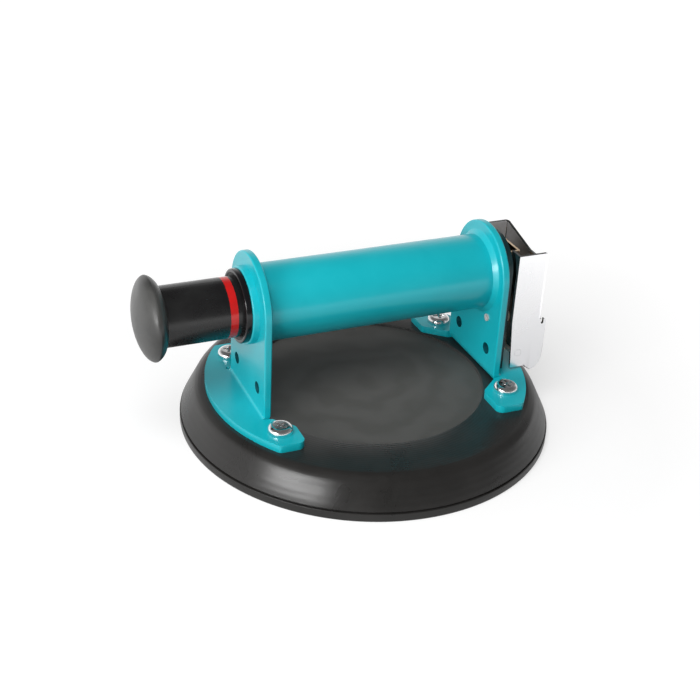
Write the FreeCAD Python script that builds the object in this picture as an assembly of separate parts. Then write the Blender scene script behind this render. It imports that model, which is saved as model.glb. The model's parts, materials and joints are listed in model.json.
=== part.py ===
"""Pump-type suction lifter: a rubber vacuum pad with a tubular handle that is its own hand pump.

Frame, in millimetres: the origin is the centre of the pad on its sealing plane, +X points along the
handle from the plunger knob to the release lever, +Z points up out of the pad.
"""
import FreeCAD, Part
import math, os

os.makedirs("parts", exist_ok=True)
V = FreeCAD.Vector

# ---- rubber pad ---------------------------------------------------------------------------------
PAD_R = 100.0            # outer radius of the sealing lip
LIP_H = 4.7              # height of the lip's upright edge
LIP_ROUND = 0.8          # rounded lower edge of the lip
GROOVE_H = 0.8           # fine groove between the lip and the bevel
GROOVE_DEPTH = 1.4
BEVEL_STEP = 0.5         # how far the bevel starts inside the lip's edge
RING_Z = 21.6            # height of the flat ring that carries the feet
BEVEL_RUN = 8.1          # horizontal run of the bevel up to the ring
BEVEL_ROUND = 6.0        # rounding between the bevel and the ring
DISC_R = 63.8            # recessed centre disc
DISC_RECESS = 1.2
SEAL_IN_R = 89.0         # inner radius of the face that touches the tile
CAVITY_RISE_R = 85.0
CAVITY_H = 3.0           # depth of the vacuum space
BACK_MARGIN = 6.4        # the steel backing plate reaches this far past the air port
BACK_T = 5.0
BACK_Z = 10.0
BOSS_R = 6.0             # threaded bosses welded on the backing plate

# ---- sheet-metal end brackets ---------------------------------------------------------------------
SHEET = 4.0              # thickness of both brackets
BRACKET_X = 67.7         # outer face of each upright
BRACKET_HALF_W = 26.8    # half width of the uprights, and the radius of their round tops
ARCH_LIFT = 0.6          # centre of the round top above the tube's axis
BEND_R = 1.5             # inner bend radius between upright and foot
FOOT_R = 86.5            # outer edge of the feet, concentric with the pad
EAR_ROOT_Y = 38.0        # where an ear's inner edge starts
EAR_CORNER_R = 4.0
EARS = {"plunger_end": (54.6, 53.2), "valve_end": (52.2, 55.6)}   # inner edge |x|, front edge |y|
EDGE_ROUND = 0.8         # broken edges of the painted sheet
GAUGE_HOLE_R = 3.25      # pair of holes low in each upright
GAUGE_HOLE_Y = 16.0
GAUGE_HOLE_Z = 38.0
DRAIN_R = 0.9            # small vent hole in each foot, by the bend
DRAIN_Y = 27.5
DRAIN_OUT = 1.6
WELD = 2.4               # fillet weld between tube and uprights

# ---- screws -----------------------------------------------------------------------------------------
FOOT_SCREW_X = 63.8
FOOT_SCREW_Y = 40.5
FOOT_SCREW_R = 3.0       # M6
FOOT_SCREW_LEN = 14.0
FOOT_HEAD_R = 6.4
FOOT_HEAD_H = 3.9
SCREW_PLAY = 0.3         # radial clearance of a screw in a plain hole
THREAD_PLAY = 0.05       # radial clearance left for a thread

# ---- handle tube and pump -----------------------------------------------------------------------------
TUBE_Z = 77.6            # axis of the handle tube
TUBE_R = 20.0
TUBE_WALL = 2.5
TUBE_PROUD = 3.6         # how far the tube stands out of the plunger-end bracket
FIT = 0.05               # radial gap of fixed fits
RUN = 0.08               # radial gap of running fits
SHAFT_R = 15.5           # plunger shaft
SHAFT_WALL = 2.0
STROKE = 33.0
GLAND_FLANGE_R = 19.0
GLAND_FLANGE_T = 3.2
GLAND_LEN = 16.0         # spigot inside the tube
GLAND_CHAMFER = 0.8
WIPER_R = 17.2
WIPER_T = 1.6
INDICATOR_GAP = 2.8      # from the gland to the warning ring, plunger out
INDICATOR_W = 3.9
INDICATOR_DEPTH = 0.6
KNOB_R = 21.7
KNOB_TIP_X = -126.1
KNOB_RIM_X = -118.0      # station of the knob's largest radius
KNOB_BACK_X = -112.8
KNOB_FRONT_POWER = 1.86  # 2 is an ellipse, 1 a straight cone
KNOB_BACK_POWER = 1.57
KNOB_NECK_STEP = 0.1     # the knob's back ends this far inside the shaft's surface
KNOB_SOCKET = 4.0        # how deep the shaft sits in the knob
PROFILE_STEPS = 10       # points on a curved profile
COIL_ARCS = 6            # arcs in one turn of a spring
KNOB_SPIGOT = 12.0       # plug of the knob inside the shaft
PISTON_X = 8.3           # back of the piston head, plunger out
PISTON_T = 11.7
PISTON_NECK = 8.3        # spigot of the piston inside the shaft
SEAL_W = 3.4
SEAL_DEPTH = 2.1
SEAL_GAP = 0.1           # axial play of a ring in its groove
CUP_R = 11.0             # spring cup behind the piston
CUP_BORE_R = 9.0
CUP_DEPTH = 40.0
CUP_FLOOR = 2.0
SPRING_R = 7.4           # mean radius of the return spring
SPRING_WIRE_R = 0.8
SPRING_TURNS = 9
HEAD_X = 56.0            # inner face of the cylinder head
HEAD_BORE_R = 5.0
HEAD_SEAT_X = 64.5       # seat of the intake valve
PORT_R = 2.5
RETAINER_T = 2.0
CHECK_R = 4.2
CHECK_T = 1.1
CHECK_STEM_R = 1.5
CHECK_STEM_LEN = 3.8
CHECK_SPRING_R = 3.2
CHECK_SPRING_WIRE_R = 0.35
CHECK_SPRING_TURNS = 3
CHECK_GAP = 0.05

# ---- manifold behind the valve-end upright ---------------------------------------------------------------
GASKET_T = 0.5
MANIFOLD_T = 5.0
MANIFOLD_HALF_W = 19.5
MANIFOLD_TOP_R = 22.0
CHANNEL_R = 1.2          # drilled air channel
CHANNEL_IN = 1.6         # channel's axis from the manifold's outer face
MANIFOLD_SCREW_Y = 14.0
MANIFOLD_SCREW_DROP = 1.6    # the screws' axes lie this far below the tube
MANIFOLD_SCREW_R = 2.0
MANIFOLD_HEAD_R = 3.9
MANIFOLD_HEAD_H = 2.2
TIP_PROUD = 0.7          # screw tips stand out of the upright's inner face
PORT_TUBE_R = 2.4
PORT_SEAL_R = 3.9
PORT_SEAL_H = 1.0
FILTER_R = 6.0
FILTER_T = 1.5
FILTER_PROUD = 0.4       # the filter stands this far out of the pad's underside

# ---- release valve and lever -----------------------------------------------------------------------------
GUIDE_SHEET = 1.3        # chromed guide bracket on the manifold
GUIDE_HALF_W = 8.5
GUIDE_DEPTH = 9.8
GUIDE_TOP_Z = 90.4
GUIDE_BOTTOM_Z = 30.5
GUIDE_FOOT_Y = 13.0
GUIDE_FOOT_Z = (44.0, 68.0)
RIVET_R = 1.25
RIVET_HEAD_R = 2.0
RIVET_HEAD_H = 1.0
RIVET_Y = 10.8
RIVET_MARGIN = 4.0
STEM_R = 1.6
STEM_SEAL_R = 4.0
STEM_SEAL_T = 1.0
STEM_DISC_R = 4.4
STEM_DISC_T = 1.0
STEM_NUT_R = 4.6
STEM_NUT_H = 3.4
STEM_NUT_GAP = 0.8       # idle gap between the lever's back and the nut
STEM_SPRING_R = 2.9
STEM_SPRING_WIRE_R = 0.4
STEM_SPRING_TURNS = 3
LEVER_SHEET = 1.5
LEVER_HALF_W = 23.0
LEVER_IN_X = 74.2        # lips, towards the manifold
LEVER_BACK_X = 92.6      # outer face of the lever's back
LEG_OUT = 2.8            # how far the legs stand out past the back
LEG_IN_CUT = 1.9         # how far the legs' inner edge sets back at the bottom
LEVER_TOP_Z = 94.2
LEVER_BOTTOM_Z = 27.2
BACK_BOTTOM_Z = 55.0     # lower edge of the lever's back
RELIEF_W = 1.5           # slot at the end of each back bend
RELIEF_DEPTH = 3.1
RELIEF_OUT = 0.3         # the slot's axis stands this far out past the back
LEG_ROUND = 7.0
LEVER_BEND_R = 2.2       # outside bend radius
LIP_TOP_W = 8.8          # width of the lips at the top
LIP_LOW_W = 6.0
LIP_LOW_Z = 66.0
LIP_END_Z = 40.0
NOTCH_FLOOR_Z = 87.6     # thumb notch in the back's top edge
NOTCH_Y = (-3.6, -9.0)
PIN_X = 80.0
PIN_Z = 36.0
PIN_R = 2.0
SPACER_R = 3.2
SPACER_GAP = 0.2         # side play of the lever on its spacers
SLOT_R = 3.2             # clearance hole for the stem in the lever's back

FLANGE_Z = RING_Z + SHEET
BORE_R = TUBE_R - TUBE_WALL
TUBE_IN_X = BRACKET_X                        # valve end, flush with the upright
TUBE_OUT_X = -(BRACKET_X + TUBE_PROUD)
GLAND_X = TUBE_OUT_X - GLAND_FLANGE_T
MANIFOLD_IN_X = BRACKET_X + GASKET_T
MANIFOLD_OUT_X = MANIFOLD_IN_X + MANIFOLD_T
CHANNEL_X = MANIFOLD_OUT_X - CHANNEL_IN
BACK_R = CHANNEL_X + BACK_MARGIN
MANIFOLD_SCREW_Z = TUBE_Z - TUBE_R - MANIFOLD_SCREW_DROP
FILTER_BOTTOM_Z = CAVITY_H - FILTER_PROUD
FILTER_TOP_Z = FILTER_BOTTOM_Z + FILTER_T
GUIDE_OUT_X = MANIFOLD_OUT_X + GUIDE_DEPTH
SPRING_SEAT_X = PISTON_X + PISTON_T - CUP_DEPTH


def save(shape, name):
    shape = shape.removeSplitter()
    assert shape.isValid() and shape.Volume > 0, name
    shape.exportStep(f"parts/{name}.step")
    print(name, len(shape.Solids), round(shape.Volume, 1))


def cyl_x(r, x0, x1, y=0.0, z=TUBE_Z):
    return Part.makeCylinder(r, x1 - x0, V(x0, y, z), V(1, 0, 0))


def ring_x(r_out, r_in, x0, x1, y=0.0, z=TUBE_Z):
    return cyl_x(r_out, x0, x1, y, z).cut(cyl_x(r_in, x0 - 1, x1 + 1, y, z))


def cyl_y(r, y0, y1, x, z):
    return Part.makeCylinder(r, y1 - y0, V(x, y0, z), V(0, 1, 0))


def cyl_z(r, z0, z1, x=0.0, y=0.0):
    return Part.makeCylinder(r, z1 - z0, V(x, y, z0))


def box(x0, x1, y0, y1, z0, z1):
    return Part.makeBox(x1 - x0, y1 - y0, z1 - z0, V(x0, y0, z0))


def mirror_y(shape):
    return shape.mirror(V(0, 0, 0), V(0, 1, 0))


def mirror_x(shape):
    return shape.mirror(V(0, 0, 0), V(1, 0, 0))


def revolve_z(points):
    """A solid turned about the pad's axis from (radius, height) points."""
    wire = Part.makePolygon([V(r, 0, z) for r, z in points + points[:1]])
    return Part.Face(wire).revolve(V(0, 0, 0), V(0, 0, 1), 360)


def revolve_x(points, z=TUBE_Z):
    """A solid turned about the tube's axis from (station, radius) points."""
    wire = Part.makePolygon([V(x, 0, z + r) for x, r in points + points[:1]])
    return Part.Face(wire).revolve(V(0, 0, z), V(1, 0, 0), 360)


def fillet_at(shape, radius, picks):
    """Round the edges whose middle lies at one of the picked points."""
    edges = []
    for e in shape.Edges:
        mid = e.valueAt((e.FirstParameter + e.LastParameter) / 2)
        if any(mid.distanceToPoint(p) < 0.2 for p in picks):
            edges.append(e)
    return shape.makeFillet(radius, edges)


def round_edges(shape, radius, keep):
    """Round every edge that the test accepts."""
    return shape.makeFillet(radius, [e for e in shape.Edges if keep(e)])


def coil_x(mean_r, wire_r, x0, x1, turns, z=TUBE_Z):
    """A compression spring between two stations on an axis along X, swept along short arcs."""
    pitch = (x1 - x0 - 2 * wire_r) / turns
    arcs = turns * COIL_ARCS

    def on_helix(step):
        turn = 2 * math.pi * step / COIL_ARCS
        x = x0 + wire_r + pitch * step / COIL_ARCS
        return V(x, mean_r * math.sin(turn), z + mean_r * math.cos(turn))

    path = Part.Wire([Part.Arc(on_helix(i), on_helix(i + 0.5), on_helix(i + 1)).toShape()
                      for i in range(arcs)])
    first = path.Edges[0]
    section = Part.Circle(on_helix(0), first.tangentAt(first.FirstParameter), wire_r).toShape()
    return path.makePipeShell([Part.Wire(section)], True, True)


def screw_points():
    return [(sx * FOOT_SCREW_X, sy * FOOT_SCREW_Y) for sx in (-1, 1) for sy in (-1, 1)]


# ---- pad --------------------------------------------------------------------------------------------
def suction_pad():
    bevel_r = PAD_R - BEVEL_STEP
    body = revolve_z([
        (0, CAVITY_H), (CAVITY_RISE_R, CAVITY_H), (SEAL_IN_R, 0), (PAD_R, 0), (PAD_R, LIP_H),
        (PAD_R - GROOVE_DEPTH, LIP_H), (PAD_R - GROOVE_DEPTH, LIP_H + GROOVE_H),
        (bevel_r, LIP_H + GROOVE_H), (bevel_r - BEVEL_RUN, RING_Z), (DISC_R, RING_Z),
        (DISC_R, RING_Z - DISC_RECESS), (0, RING_Z - DISC_RECESS)])
    body = round_edges(body, BEVEL_ROUND, lambda e: e.Curve.TypeId == "Part::GeomCircle"
                       and abs(e.Curve.Radius - (bevel_r - BEVEL_RUN)) < 0.01)
    body = round_edges(body, LIP_ROUND, lambda e: e.Curve.TypeId == "Part::GeomCircle"
                       and abs(e.Curve.Radius - PAD_R) < 0.01 and e.Curve.Center.z < LIP_H / 2)
    body = body.cut(cyl_z(BACK_R, BACK_Z, BACK_Z + BACK_T))
    for x, y in screw_points():
        body = body.cut(cyl_z(BOSS_R, BACK_Z, RING_Z + 1, x, y))
    body = body.cut(cyl_z(PORT_TUBE_R + FIT, 0, RING_Z + 1, CHANNEL_X))
    return body.cut(cyl_z(FILTER_R + FIT, 0, FILTER_TOP_Z, CHANNEL_X))


def pad_backing_plate():
    plate = cyl_z(BACK_R, BACK_Z, BACK_Z + BACK_T)
    for x, y in screw_points():
        plate = plate.cut(cyl_z(FOOT_SCREW_R + THREAD_PLAY, BACK_Z - 1, BACK_Z + BACK_T + 1, x, y))
    return plate.cut(cyl_z(PORT_TUBE_R + FIT, BACK_Z - 1, BACK_Z + BACK_T + 1, CHANNEL_X))


def threaded_bosses():
    z0 = BACK_Z + BACK_T
    return Part.Compound([cyl_z(BOSS_R, z0, RING_Z, x, y).cut(
        cyl_z(FOOT_SCREW_R + THREAD_PLAY, z0 - 1, RING_Z + 1, x, y)) for x, y in screw_points()])


# ---- brackets ---------------------------------------------------------------------------------------
def upright_outline(x0, x1):
    """The upright's front view, straight sides and a round top, from x0 to x1."""
    w, zc = BRACKET_HALF_W, TUBE_Z + ARCH_LIFT
    edges = [Part.makeLine(V(x0, -w, RING_Z), V(x0, w, RING_Z)),
             Part.makeLine(V(x0, w, RING_Z), V(x0, w, zc)),
             Part.Arc(V(x0, w, zc), V(x0, 0, zc + w), V(x0, -w, zc)).toShape(),
             Part.makeLine(V(x0, -w, zc), V(x0, -w, RING_Z))]
    return Part.Face(Part.Wire(edges)).extrude(V(x1 - x0, 0, 0))


def bent_strip():
    """Upright and the root of its foot, one strip of sheet bent outwards."""
    top = TUBE_Z + ARCH_LIFT + BRACKET_HALF_W + 1
    w, reach = BRACKET_HALF_W, BRACKET_X + 2 * SHEET
    strip = box(BRACKET_X - SHEET, BRACKET_X, -w, w, RING_Z, top)
    strip = strip.fuse(box(BRACKET_X - SHEET, reach, -w, w, RING_Z, FLANGE_Z)).removeSplitter()
    strip = fillet_at(strip, BEND_R, [V(BRACKET_X, 0, FLANGE_Z)])
    strip = fillet_at(strip, BEND_R + SHEET, [V(BRACKET_X - SHEET, 0, RING_Z)])
    return strip.common(upright_outline(BRACKET_X - SHEET - 1, reach + 1))


def foot_plate(ear_x, ear_y):
    """Foot outline: an arc concentric with the pad, and two ears that reach in past the upright."""
    bend_end = BRACKET_X - SHEET + BEND_R + SHEET
    w = BRACKET_HALF_W
    half = [(bend_end, 0), (bend_end, w), (BRACKET_X - SHEET, w + 1.4), (ear_x, EAR_ROOT_Y),
            (ear_x, ear_y), (FOOT_R, ear_y), (FOOT_R, 0)]
    face = Part.Face(Part.makePolygon([V(x, y, RING_Z) for x, y in half + half[:1]]))
    plate = face.extrude(V(0, 0, SHEET))
    mid_z = RING_Z + SHEET / 2
    arc_x = math.sqrt(FOOT_R ** 2 - ear_y ** 2)
    corner_r = min(EAR_CORNER_R, (arc_x - ear_x) / 3)
    plate = fillet_at(plate, corner_r, [V(ear_x, ear_y, mid_z), V(ear_x, EAR_ROOT_Y, mid_z)])
    plate = plate.fuse(mirror_y(plate)).removeSplitter().common(cyl_z(FOOT_R, RING_Z, FLANGE_Z))
    return fillet_at(plate, corner_r / 2, [V(arc_x, ear_y, mid_z), V(arc_x, -ear_y, mid_z)])


def upright_rim(e):
    """Straight and round edges of the upright's two faces, which the paint leaves rounded."""
    b = e.BoundBox
    return b.XLength < 0.01 and b.ZLength > 5 and (
        b.YLength > 2 * BRACKET_HALF_W - 1 or b.YLength < 0.01)


def bracket(side):
    """One end bracket, drawn at the valve end."""
    strip = round_edges(bent_strip(), EDGE_ROUND, upright_rim)
    arch = strip.fuse(foot_plate(*EARS[side])).removeSplitter()
    weld = Part.Face(Part.makePolygon([
        V(BRACKET_X - SHEET, 0, TUBE_Z + TUBE_R), V(BRACKET_X - SHEET, 0, TUBE_Z + TUBE_R + WELD),
        V(BRACKET_X - SHEET - WELD, 0, TUBE_Z + TUBE_R), V(BRACKET_X - SHEET, 0, TUBE_Z + TUBE_R)]))
    arch = arch.fuse(weld.revolve(V(0, 0, TUBE_Z), V(1, 0, 0), 360))
    arch = arch.cut(cyl_x(TUBE_R + FIT, BRACKET_X - SHEET - WELD - 1, BRACKET_X + 1))
    for s in (-1, 1):
        arch = arch.cut(cyl_x(GAUGE_HOLE_R, BRACKET_X - SHEET - 1, BRACKET_X + 1,
                              s * GAUGE_HOLE_Y, GAUGE_HOLE_Z))
        arch = arch.cut(cyl_z(FOOT_SCREW_R + SCREW_PLAY, RING_Z - 1, FLANGE_Z + 1,
                              FOOT_SCREW_X, s * FOOT_SCREW_Y))
    return arch


def plunger_end_bracket():
    body = mirror_x(bracket("plunger_end"))
    return body.cut(cyl_z(DRAIN_R, RING_Z - 1, FLANGE_Z + 1, -(BRACKET_X + DRAIN_OUT), DRAIN_Y))


def valve_end_bracket():
    body = bracket("valve_end")
    for s in (-1, 1):
        body = body.cut(cyl_x(MANIFOLD_SCREW_R + THREAD_PLAY, BRACKET_X - SHEET - 1, BRACKET_X + 1,
                              s * MANIFOLD_SCREW_Y, MANIFOLD_SCREW_Z))
    body = body.cut(cyl_z(PORT_TUBE_R + FIT, RING_Z - 1, FLANGE_Z + 1, CHANNEL_X))
    return body.cut(cyl_z(PORT_SEAL_R, FLANGE_Z - PORT_SEAL_H, FLANGE_Z + 1, CHANNEL_X))


def cross_recess(r, depth):
    """A cross-head recess about +Z, its mouth at z = 0."""
    arm = box(-r, r, -r * 0.22, r * 0.22, -depth, 1)
    cross = arm.fuse(box(-r * 0.22, r * 0.22, -r, r, -depth, 1))
    return cross.common(Part.makeCone(r * 0.45, r, depth, V(0, 0, -depth)))


def pan_screw():
    """A pan-head screw about +Z, its head seated on z = 0."""
    head = cyl_z(FOOT_HEAD_R, 0, FOOT_HEAD_H)
    head = round_edges(head, FOOT_HEAD_H * 0.62, lambda e: e.BoundBox.ZMin > FOOT_HEAD_H - 0.01
                       and e.BoundBox.ZLength < 0.01)
    recess = cross_recess(FOOT_HEAD_R * 0.55, FOOT_HEAD_H * 0.6)
    recess.translate(V(0, 0, FOOT_HEAD_H))
    return head.cut(recess).fuse(cyl_z(FOOT_SCREW_R, -FOOT_SCREW_LEN, 0))


def foot_screws():
    turns = (28, 63, 12, 80)
    out = []
    for (x, y), turn in zip(screw_points(), turns):
        s = pan_screw().removeSplitter()
        s.rotate(V(0, 0, 0), V(0, 0, 1), turn)
        s.translate(V(x, y, FLANGE_Z))
        out.append(s)
    return Part.Compound(out)


# ---- tube and pump -----------------------------------------------------------------------------------
def handle_tube():
    return ring_x(TUBE_R, BORE_R, TUBE_OUT_X, TUBE_IN_X)


def end_gland():
    body = cyl_x(GLAND_FLANGE_R, GLAND_X, TUBE_OUT_X)
    body = round_edges(body, GLAND_CHAMFER, lambda e: e.BoundBox.XMax < GLAND_X + 0.01
                       and e.BoundBox.XLength < 0.01)
    body = body.fuse(cyl_x(BORE_R - FIT, TUBE_OUT_X, TUBE_OUT_X + GLAND_LEN))
    body = body.cut(cyl_x(SHAFT_R + RUN, GLAND_X - 1, TUBE_OUT_X + GLAND_LEN + 1))
    return body.cut(cyl_x(WIPER_R, GLAND_X - 1, GLAND_X + WIPER_T))


def gland_wiper():
    x1 = GLAND_X + WIPER_T
    return revolve_x([(x1, SHAFT_R + RUN), (x1, WIPER_R), (x1 - WIPER_T * 0.8, WIPER_R),
                      (x1 - WIPER_T * 0.35, SHAFT_R + RUN)])


def guide_sleeve():
    return ring_x(BORE_R - FIT, SHAFT_R + 3 * RUN, TUBE_OUT_X + GLAND_LEN, PISTON_X)


def plunger_shaft():
    body = ring_x(SHAFT_R, SHAFT_R - SHAFT_WALL, KNOB_BACK_X - KNOB_SOCKET, PISTON_X)
    x1 = GLAND_X - INDICATOR_GAP
    return body.cut(ring_x(SHAFT_R + 1, SHAFT_R - INDICATOR_DEPTH, x1 - INDICATOR_W, x1))


def vacuum_indicator_ring():
    x1 = GLAND_X - INDICATOR_GAP
    return ring_x(SHAFT_R, SHAFT_R - INDICATOR_DEPTH, x1 - INDICATOR_W, x1)


def rounded_flank(x_flat, r_flat, power):
    """Knob profile from a flat end to its rim: a rounded quarter between ellipse and straight line."""
    points = []
    for i in range(PROFILE_STEPS + 1):
        turn = math.pi / 2 * i / PROFILE_STEPS
        x = KNOB_RIM_X + (x_flat - KNOB_RIM_X) * max(math.cos(turn), 0) ** (2 / power)
        r = r_flat + (KNOB_R - r_flat) * math.sin(turn) ** (2 / power)
        points.append(V(x, 0, TUBE_Z + r))
    points[-1] = V(KNOB_RIM_X, 0, TUBE_Z + KNOB_R)
    curve = Part.BSplineCurve()
    inward = V(math.copysign(1, KNOB_RIM_X - x_flat), 0, 0)
    curve.interpolate(Points=points, InitialTangent=V(0, 0, 1), FinalTangent=inward)
    return curve.toShape()


def plunger_knob():
    """Mushroom knob: a domed face, a full round rim and a plug that fits the shaft."""
    neck_r = SHAFT_R - KNOB_NECK_STEP
    front = rounded_flank(KNOB_TIP_X, 0, KNOB_FRONT_POWER)
    back = rounded_flank(KNOB_BACK_X, neck_r, KNOB_BACK_POWER)
    close = Part.makePolygon([V(KNOB_BACK_X, 0, TUBE_Z + neck_r), V(KNOB_BACK_X, 0, TUBE_Z),
                              V(KNOB_TIP_X, 0, TUBE_Z)])
    face = Part.Face(Part.Wire(Part.__sortEdges__([front, back] + close.Edges)))
    body = face.revolve(V(0, 0, TUBE_Z), V(1, 0, 0), 360)
    socket_x = KNOB_BACK_X - KNOB_SOCKET
    body = body.cut(cyl_x(SHAFT_R + FIT, socket_x, KNOB_BACK_X + 1))
    return body.fuse(cyl_x(SHAFT_R - SHAFT_WALL - FIT, socket_x, socket_x + KNOB_SPIGOT))


def piston():
    neck_r = SHAFT_R - SHAFT_WALL - FIT
    x0, x1 = PISTON_X, PISTON_X + PISTON_T
    g0 = x0 + (PISTON_T - SEAL_W) / 2 - SEAL_GAP
    g1 = g0 + SEAL_W + 2 * SEAL_GAP
    head_r = BORE_R - 2 * RUN
    return revolve_x([
        (SPRING_SEAT_X - CUP_FLOOR, 0), (SPRING_SEAT_X - CUP_FLOOR, CUP_R), (x0 - PISTON_NECK, CUP_R),
        (x0 - PISTON_NECK, neck_r), (x0, neck_r), (x0, head_r), (g0, head_r),
        (g0, BORE_R - SEAL_DEPTH), (g1, BORE_R - SEAL_DEPTH), (g1, head_r), (x1, head_r),
        (x1, CUP_BORE_R), (SPRING_SEAT_X, CUP_BORE_R), (SPRING_SEAT_X, 0)])


def piston_seal():
    x0 = PISTON_X + (PISTON_T - SEAL_W) / 2
    return ring_x(BORE_R - RUN, BORE_R - SEAL_DEPTH + SEAL_GAP / 2, x0, x0 + SEAL_W)


def return_spring():
    return coil_x(SPRING_R, SPRING_WIRE_R, SPRING_SEAT_X, HEAD_X, SPRING_TURNS)


def cylinder_head():
    g0 = HEAD_X + SEAL_W
    body = cyl_x(BORE_R - FIT, HEAD_X, TUBE_IN_X)
    body = body.cut(ring_x(BORE_R + 1, BORE_R - SEAL_DEPTH, g0 - SEAL_GAP, g0 + SEAL_W + SEAL_GAP))
    body = body.cut(cyl_x(HEAD_BORE_R, HEAD_X - 1, HEAD_SEAT_X))
    return body.cut(cyl_x(PORT_R, HEAD_SEAT_X - 1, TUBE_IN_X + 1))


def head_seal():
    g0 = HEAD_X + SEAL_W
    return ring_x(BORE_R - FIT, BORE_R - SEAL_DEPTH + SEAL_GAP / 2, g0, g0 + SEAL_W)


def intake_valve_retainer():
    return ring_x(HEAD_BORE_R - FIT, PORT_R, HEAD_X, HEAD_X + RETAINER_T)


def intake_valve_disc():
    x1 = HEAD_SEAT_X - CHECK_GAP
    body = cyl_x(CHECK_R, x1 - CHECK_T, x1)
    return body.fuse(cyl_x(CHECK_STEM_R, x1 - CHECK_T - CHECK_STEM_LEN, x1 - CHECK_T))


def intake_valve_spring():
    return coil_x(CHECK_SPRING_R, CHECK_SPRING_WIRE_R, HEAD_X + RETAINER_T,
                  HEAD_SEAT_X - CHECK_GAP - CHECK_T, CHECK_SPRING_TURNS)


def exhaust_flap_valve():
    """Rubber umbrella valve on the floor of the spring cup."""
    x1 = SPRING_SEAT_X - CUP_FLOOR
    return cyl_x(CHECK_R, x1 - CHECK_T, x1)


# ---- manifold ----------------------------------------------------------------------------------------
def manifold_outline(x0, x1):
    w, r = MANIFOLD_HALF_W, MANIFOLD_TOP_R
    body = box(x0, x1, -w, w, FLANGE_Z, TUBE_Z + r)
    return round_edges(body, r * 0.8, lambda e: e.BoundBox.ZMin > TUBE_Z + r - 0.01
                       and e.BoundBox.YLength < 0.01)


def manifold_screw_holes(shape, r):
    for s in (-1, 1):
        shape = shape.cut(cyl_x(r, BRACKET_X - 1, MANIFOLD_OUT_X + 1, s * MANIFOLD_SCREW_Y,
                                MANIFOLD_SCREW_Z))
    return shape


def bend_clearance():
    """A wedge that clears the bend between upright and foot."""
    run = BEND_R + 0.3
    pts = [V(BRACKET_X - 1, 0, FLANGE_Z - 1), V(BRACKET_X + run + 1, 0, FLANGE_Z - 1),
           V(BRACKET_X - 1, 0, FLANGE_Z + run + 1), V(BRACKET_X - 1, 0, FLANGE_Z - 1)]
    wedge = Part.Face(Part.makePolygon(pts)).extrude(V(0, 2 * MANIFOLD_HALF_W + 2, 0))
    wedge.translate(V(0, -MANIFOLD_HALF_W - 1, 0))
    return wedge


def manifold_gasket():
    sheet = manifold_outline(BRACKET_X, MANIFOLD_IN_X).cut(bend_clearance())
    sheet = manifold_screw_holes(sheet, MANIFOLD_SCREW_R + SCREW_PLAY)
    return sheet.cut(cyl_x(PORT_R, BRACKET_X - 1, MANIFOLD_IN_X + 1))


def valve_manifold():
    body = manifold_outline(MANIFOLD_IN_X, MANIFOLD_OUT_X).cut(bend_clearance())
    body = manifold_screw_holes(body, MANIFOLD_SCREW_R + SCREW_PLAY)
    for s in (-1, 1):
        body = body.cut(Part.makeCone(MANIFOLD_HEAD_R + FIT, MANIFOLD_SCREW_R + FIT, MANIFOLD_HEAD_H,
                                      V(MANIFOLD_OUT_X, s * MANIFOLD_SCREW_Y, MANIFOLD_SCREW_Z),
                                      V(-1, 0, 0)))
        for z in rivet_heights():
            body = body.cut(cyl_x(RIVET_R + FIT, MANIFOLD_IN_X - 1, MANIFOLD_OUT_X + 1, s * RIVET_Y, z))
    body = body.cut(cyl_z(CHANNEL_R, FLANGE_Z - 1, TUBE_Z, CHANNEL_X))
    return body.cut(cyl_x(CHANNEL_R, MANIFOLD_IN_X - 1, MANIFOLD_OUT_X + 1))


def manifold_screws():
    out = []
    for s in (-1, 1):
        y, z = s * MANIFOLD_SCREW_Y, MANIFOLD_SCREW_Z
        shank = cyl_x(MANIFOLD_SCREW_R, BRACKET_X - SHEET - TIP_PROUD, MANIFOLD_OUT_X, y, z)
        head = Part.makeCone(MANIFOLD_HEAD_R, MANIFOLD_SCREW_R, MANIFOLD_HEAD_H - FIT,
                             V(MANIFOLD_OUT_X, y, z), V(-1, 0, 0))
        recess = cross_recess(MANIFOLD_HEAD_R * 0.6, MANIFOLD_HEAD_H * 0.7)
        recess.rotate(V(0, 0, 0), V(0, 1, 0), 90)
        recess.translate(V(MANIFOLD_OUT_X, y, z))
        out.append(shank.fuse(head).cut(recess).removeSplitter())
    return Part.Compound(out)


def port_tube():
    return cyl_z(PORT_TUBE_R, FILTER_TOP_Z, FLANGE_Z, CHANNEL_X).cut(
        cyl_z(CHANNEL_R, 0, FLANGE_Z + 1, CHANNEL_X))


def port_seal():
    return cyl_z(PORT_SEAL_R - FIT, FLANGE_Z - PORT_SEAL_H, FLANGE_Z, CHANNEL_X).cut(
        cyl_z(PORT_TUBE_R + FIT, 0, FLANGE_Z + 1, CHANNEL_X))


def intake_filter():
    return cyl_z(FILTER_R, FILTER_BOTTOM_Z, FILTER_TOP_Z, CHANNEL_X)


# ---- release valve ------------------------------------------------------------------------------------
def rivet_heights():
    return [GUIDE_FOOT_Z[0] + RIVET_MARGIN, GUIDE_FOOT_Z[1] - RIVET_MARGIN]


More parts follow.
